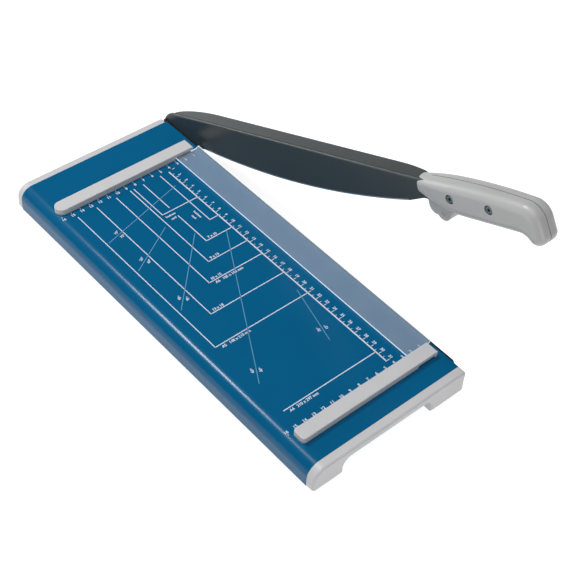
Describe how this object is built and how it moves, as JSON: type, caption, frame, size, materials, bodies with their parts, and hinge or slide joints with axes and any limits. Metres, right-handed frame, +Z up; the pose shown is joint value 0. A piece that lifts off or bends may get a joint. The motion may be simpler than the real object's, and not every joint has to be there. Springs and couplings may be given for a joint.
{
  "type": "paper trimmer",
  "caption": "Desk paper trimmer with a pivoting blade arm, moulded grip, blue printed bed, paper stops and a clear guard strip.",
  "frame": {"origin": "middle of the fixed blade's top face, level with the front of the back paper stop", "axes": "+X across the bed towards the blade arm, +Y back towards the hinge, +Z up from the bed"},
  "size_m": [0.199, 0.459, 0.2267],
  "materials": {
    "blue_enamel": "satin",
    "grey_plastic": "fine satin grain",
    "handle_plastic": "fine satin grain",
    "black_plastic": "satin",
    "clear_plastic": "polished clear sheet",
    "foot_rubber": "matt",
    "white_nylon": "satin",
    "black_blade_steel": "blackened, ground upper edge",
    "dark_enamel": "satin charcoal",
    "black_screw": "black oxide",
    "zinc_screw": "zinc plated",
    "cast_alloy": "die cast, matt"
  },
  "bodies": {
    "base": {"bed_plate": "blue_enamel", "back_end_cap": "grey_plastic", "front_end_cap": "grey_plastic", "cap_screws": "zinc_screw", "rubber_feet": "foot_rubber", "fixed_blade": "black_blade_steel", "blade_screws": "black_screw", "blade_nuts": "zinc_screw", "back_stop": "grey_plastic", "front_stop": "grey_plastic", "stop_screws": "zinc_screw", "clear_guard": "clear_plastic", "guard_spacers": "white_nylon", "pivot_block": "cast_alloy", "pivot_bolt": "zinc_screw", "pivot_washer": "zinc_screw", "pivot_spring": "zinc_screw", "pivot_nut": "zinc_screw"},
    "arm": {"blade_arm": "dark_enamel", "handle_left": "handle_plastic", "handle_right": "handle_plastic", "handle_bolts": "zinc_screw", "handle_nuts": "zinc_screw"},
    "lock": {"lock_pin": "handle_plastic", "lock_knob": "black_plastic"}
  },
  "joints": [
    {"name": "arm_hinge", "type": "hinge", "parent": "base", "child": "arm", "pos_m": [0.0021, 0.033, -0.008], "axis": [-1, 0, 0], "range_deg": [-22.8, 41.2]},
    {"name": "lock_slide", "type": "slide", "parent": "arm", "child": "lock", "axis": [-1, 0, 0], "range_m": [0, 0.008]}
  ]
}
